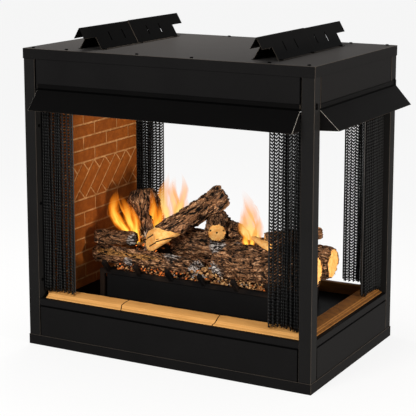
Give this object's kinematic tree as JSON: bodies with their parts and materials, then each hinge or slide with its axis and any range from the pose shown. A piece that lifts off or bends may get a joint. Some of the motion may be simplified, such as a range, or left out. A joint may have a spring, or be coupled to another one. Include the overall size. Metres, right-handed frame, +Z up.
{
  "type": "ventless firebox",
  "caption": "Black steel ventless firebox open on three sides, with sliding mesh curtains, smoke hoods, a brick lining and a gas log set on a grate.",
  "frame": {"origin": "the middle of the cabinet's underside, on the floor", "axes": "+Z up, -Y out of the front opening, +X out of the open right side, -X towards the closed left side"},
  "size_m": [1.0068, 0.707, 0.99],
  "materials": {
    "black_coat": "satin black powder coat",
    "dark_steel": "blackened steel",
    "curtain_mesh": "black woven steel mesh",
    "cast_black": "matt black high-temperature paint",
    "fired_brick": "moulded ceramic fibre brick with lighter joints",
    "ledge_brick": "moulded golden ceramic brick",
    "ceramic_bark": "moulded and painted refractory log",
    "ember_wool": "glowing mineral fibre embers",
    "plain_steel": "plain steel and gas fittings",
    "knob_black": "matt black"
  },
  "bodies": {
    "firebox": {"fascia_front": "black_coat", "lower_panel_front": "black_coat", "sill_front": "black_coat", "hood_front": "black_coat", "curtain_rod_front": "dark_steel", "fascia_right": "black_coat", "lower_panel_right": "black_coat", "sill_right": "black_coat", "hood_right": "black_coat", "curtain_rod_right": "dark_steel", "fascia_rear": "black_coat", "lower_panel_rear": "black_coat", "sill_rear": "black_coat", "hood_rear": "black_coat", "curtain_rod_rear": "dark_steel", "base_pan": "black_coat", "top_cover": "black_coat", "side_panel_left": "black_coat", "hearth_floor": "cast_black", "ceiling_panel": "black_coat", "brick_liner": "fired_brick", "post_front_left": "black_coat", "post_front_right": "black_coat", "post_rear_left": "black_coat", "post_rear_right": "black_coat", "ledge_front_left": "ledge_brick", "ledge_front_middle": "ledge_brick", "ledge_front_right": "ledge_brick", "ledge_rear_left": "ledge_brick", "ledge_rear_middle": "ledge_brick", "ledge_rear_right": "ledge_brick", "ledge_right": "ledge_brick", "curtain_front_left": "curtain_mesh", "curtain_front_right": "curtain_mesh", "curtain_rear_left": "curtain_mesh", "curtain_rear_right": "curtain_mesh", "curtain_right": "curtain_mesh", "standoff_left": "black_coat", "standoff_right": "black_coat", "grate": "cast_black", "burner_box": "black_coat", "burner_tube": "plain_steel", "ember_bed": "ember_wool", "pilot_sensor": "plain_steel", "gas_valve": "plain_steel", "log_front_left": "ceramic_bark", "log_front_right": "ceramic_bark", "log_back": "ceramic_bark", "log_leaning": "ceramic_bark", "log_stacked": "ceramic_bark", "log_cross": "ceramic_bark", "log_round": "ceramic_bark", "log_forked": "ceramic_bark"},
    "curtain_lead_front_left": {"curtain_lead_front_left": "dark_steel"},
    "curtain_lead_front_right": {"curtain_lead_front_right": "dark_steel"},
    "curtain_lead_rear_left": {"curtain_lead_rear_left": "dark_steel"},
    "curtain_lead_rear_right": {"curtain_lead_rear_right": "dark_steel"},
    "curtain_lead_right": {"curtain_lead_right": "dark_steel"},
    "control_knob": {"control_knob": "knob_black"},
    "igniter_button": {"igniter_button": "knob_black"}
  },
  "joints": [
    {"name": "curtain_front_left_slide", "type": "slide", "parent": "firebox", "child": "curtain_lead_front_left", "axis": [1, 0, 0], "range_m": [0, 0.32], "deforming": ["curtain_front_left"]},
    {"name": "curtain_front_right_slide", "type": "slide", "parent": "firebox", "child": "curtain_lead_front_right", "axis": [-1, 0, 0], "range_m": [0, 0.32], "deforming": ["curtain_front_right"]},
    {"name": "curtain_rear_left_slide", "type": "slide", "parent": "firebox", "child": "curtain_lead_rear_left", "axis": [1, 0, 0], "range_m": [0, 0.32], "deforming": ["curtain_rear_left"]},
    {"name": "curtain_rear_right_slide", "type": "slide", "parent": "firebox", "child": "curtain_lead_rear_right", "axis": [-1, 0, 0], "range_m": [0, 0.32], "deforming": ["curtain_rear_right"]},
    {"name": "curtain_right_slide", "type": "slide", "parent": "firebox", "child": "curtain_lead_right", "axis": [0, -1, 0], "range_m": [0, 0.378], "deforming": ["curtain_right"]},
    {"name": "control_knob_turn", "type": "hinge", "parent": "firebox", "child": "control_knob", "pos_m": [0.29, 0.06, 0.14915], "axis": [1, 0, 0], "range_deg": [0, 180]},
    {"name": "igniter_press", "type": "slide", "parent": "firebox", "child": "igniter_button", "axis": [-1, 0, 0], "range_m": [0, 0.004], "stiffness_N_per_m": 600, "springref_m": -0.001}
  ]
}
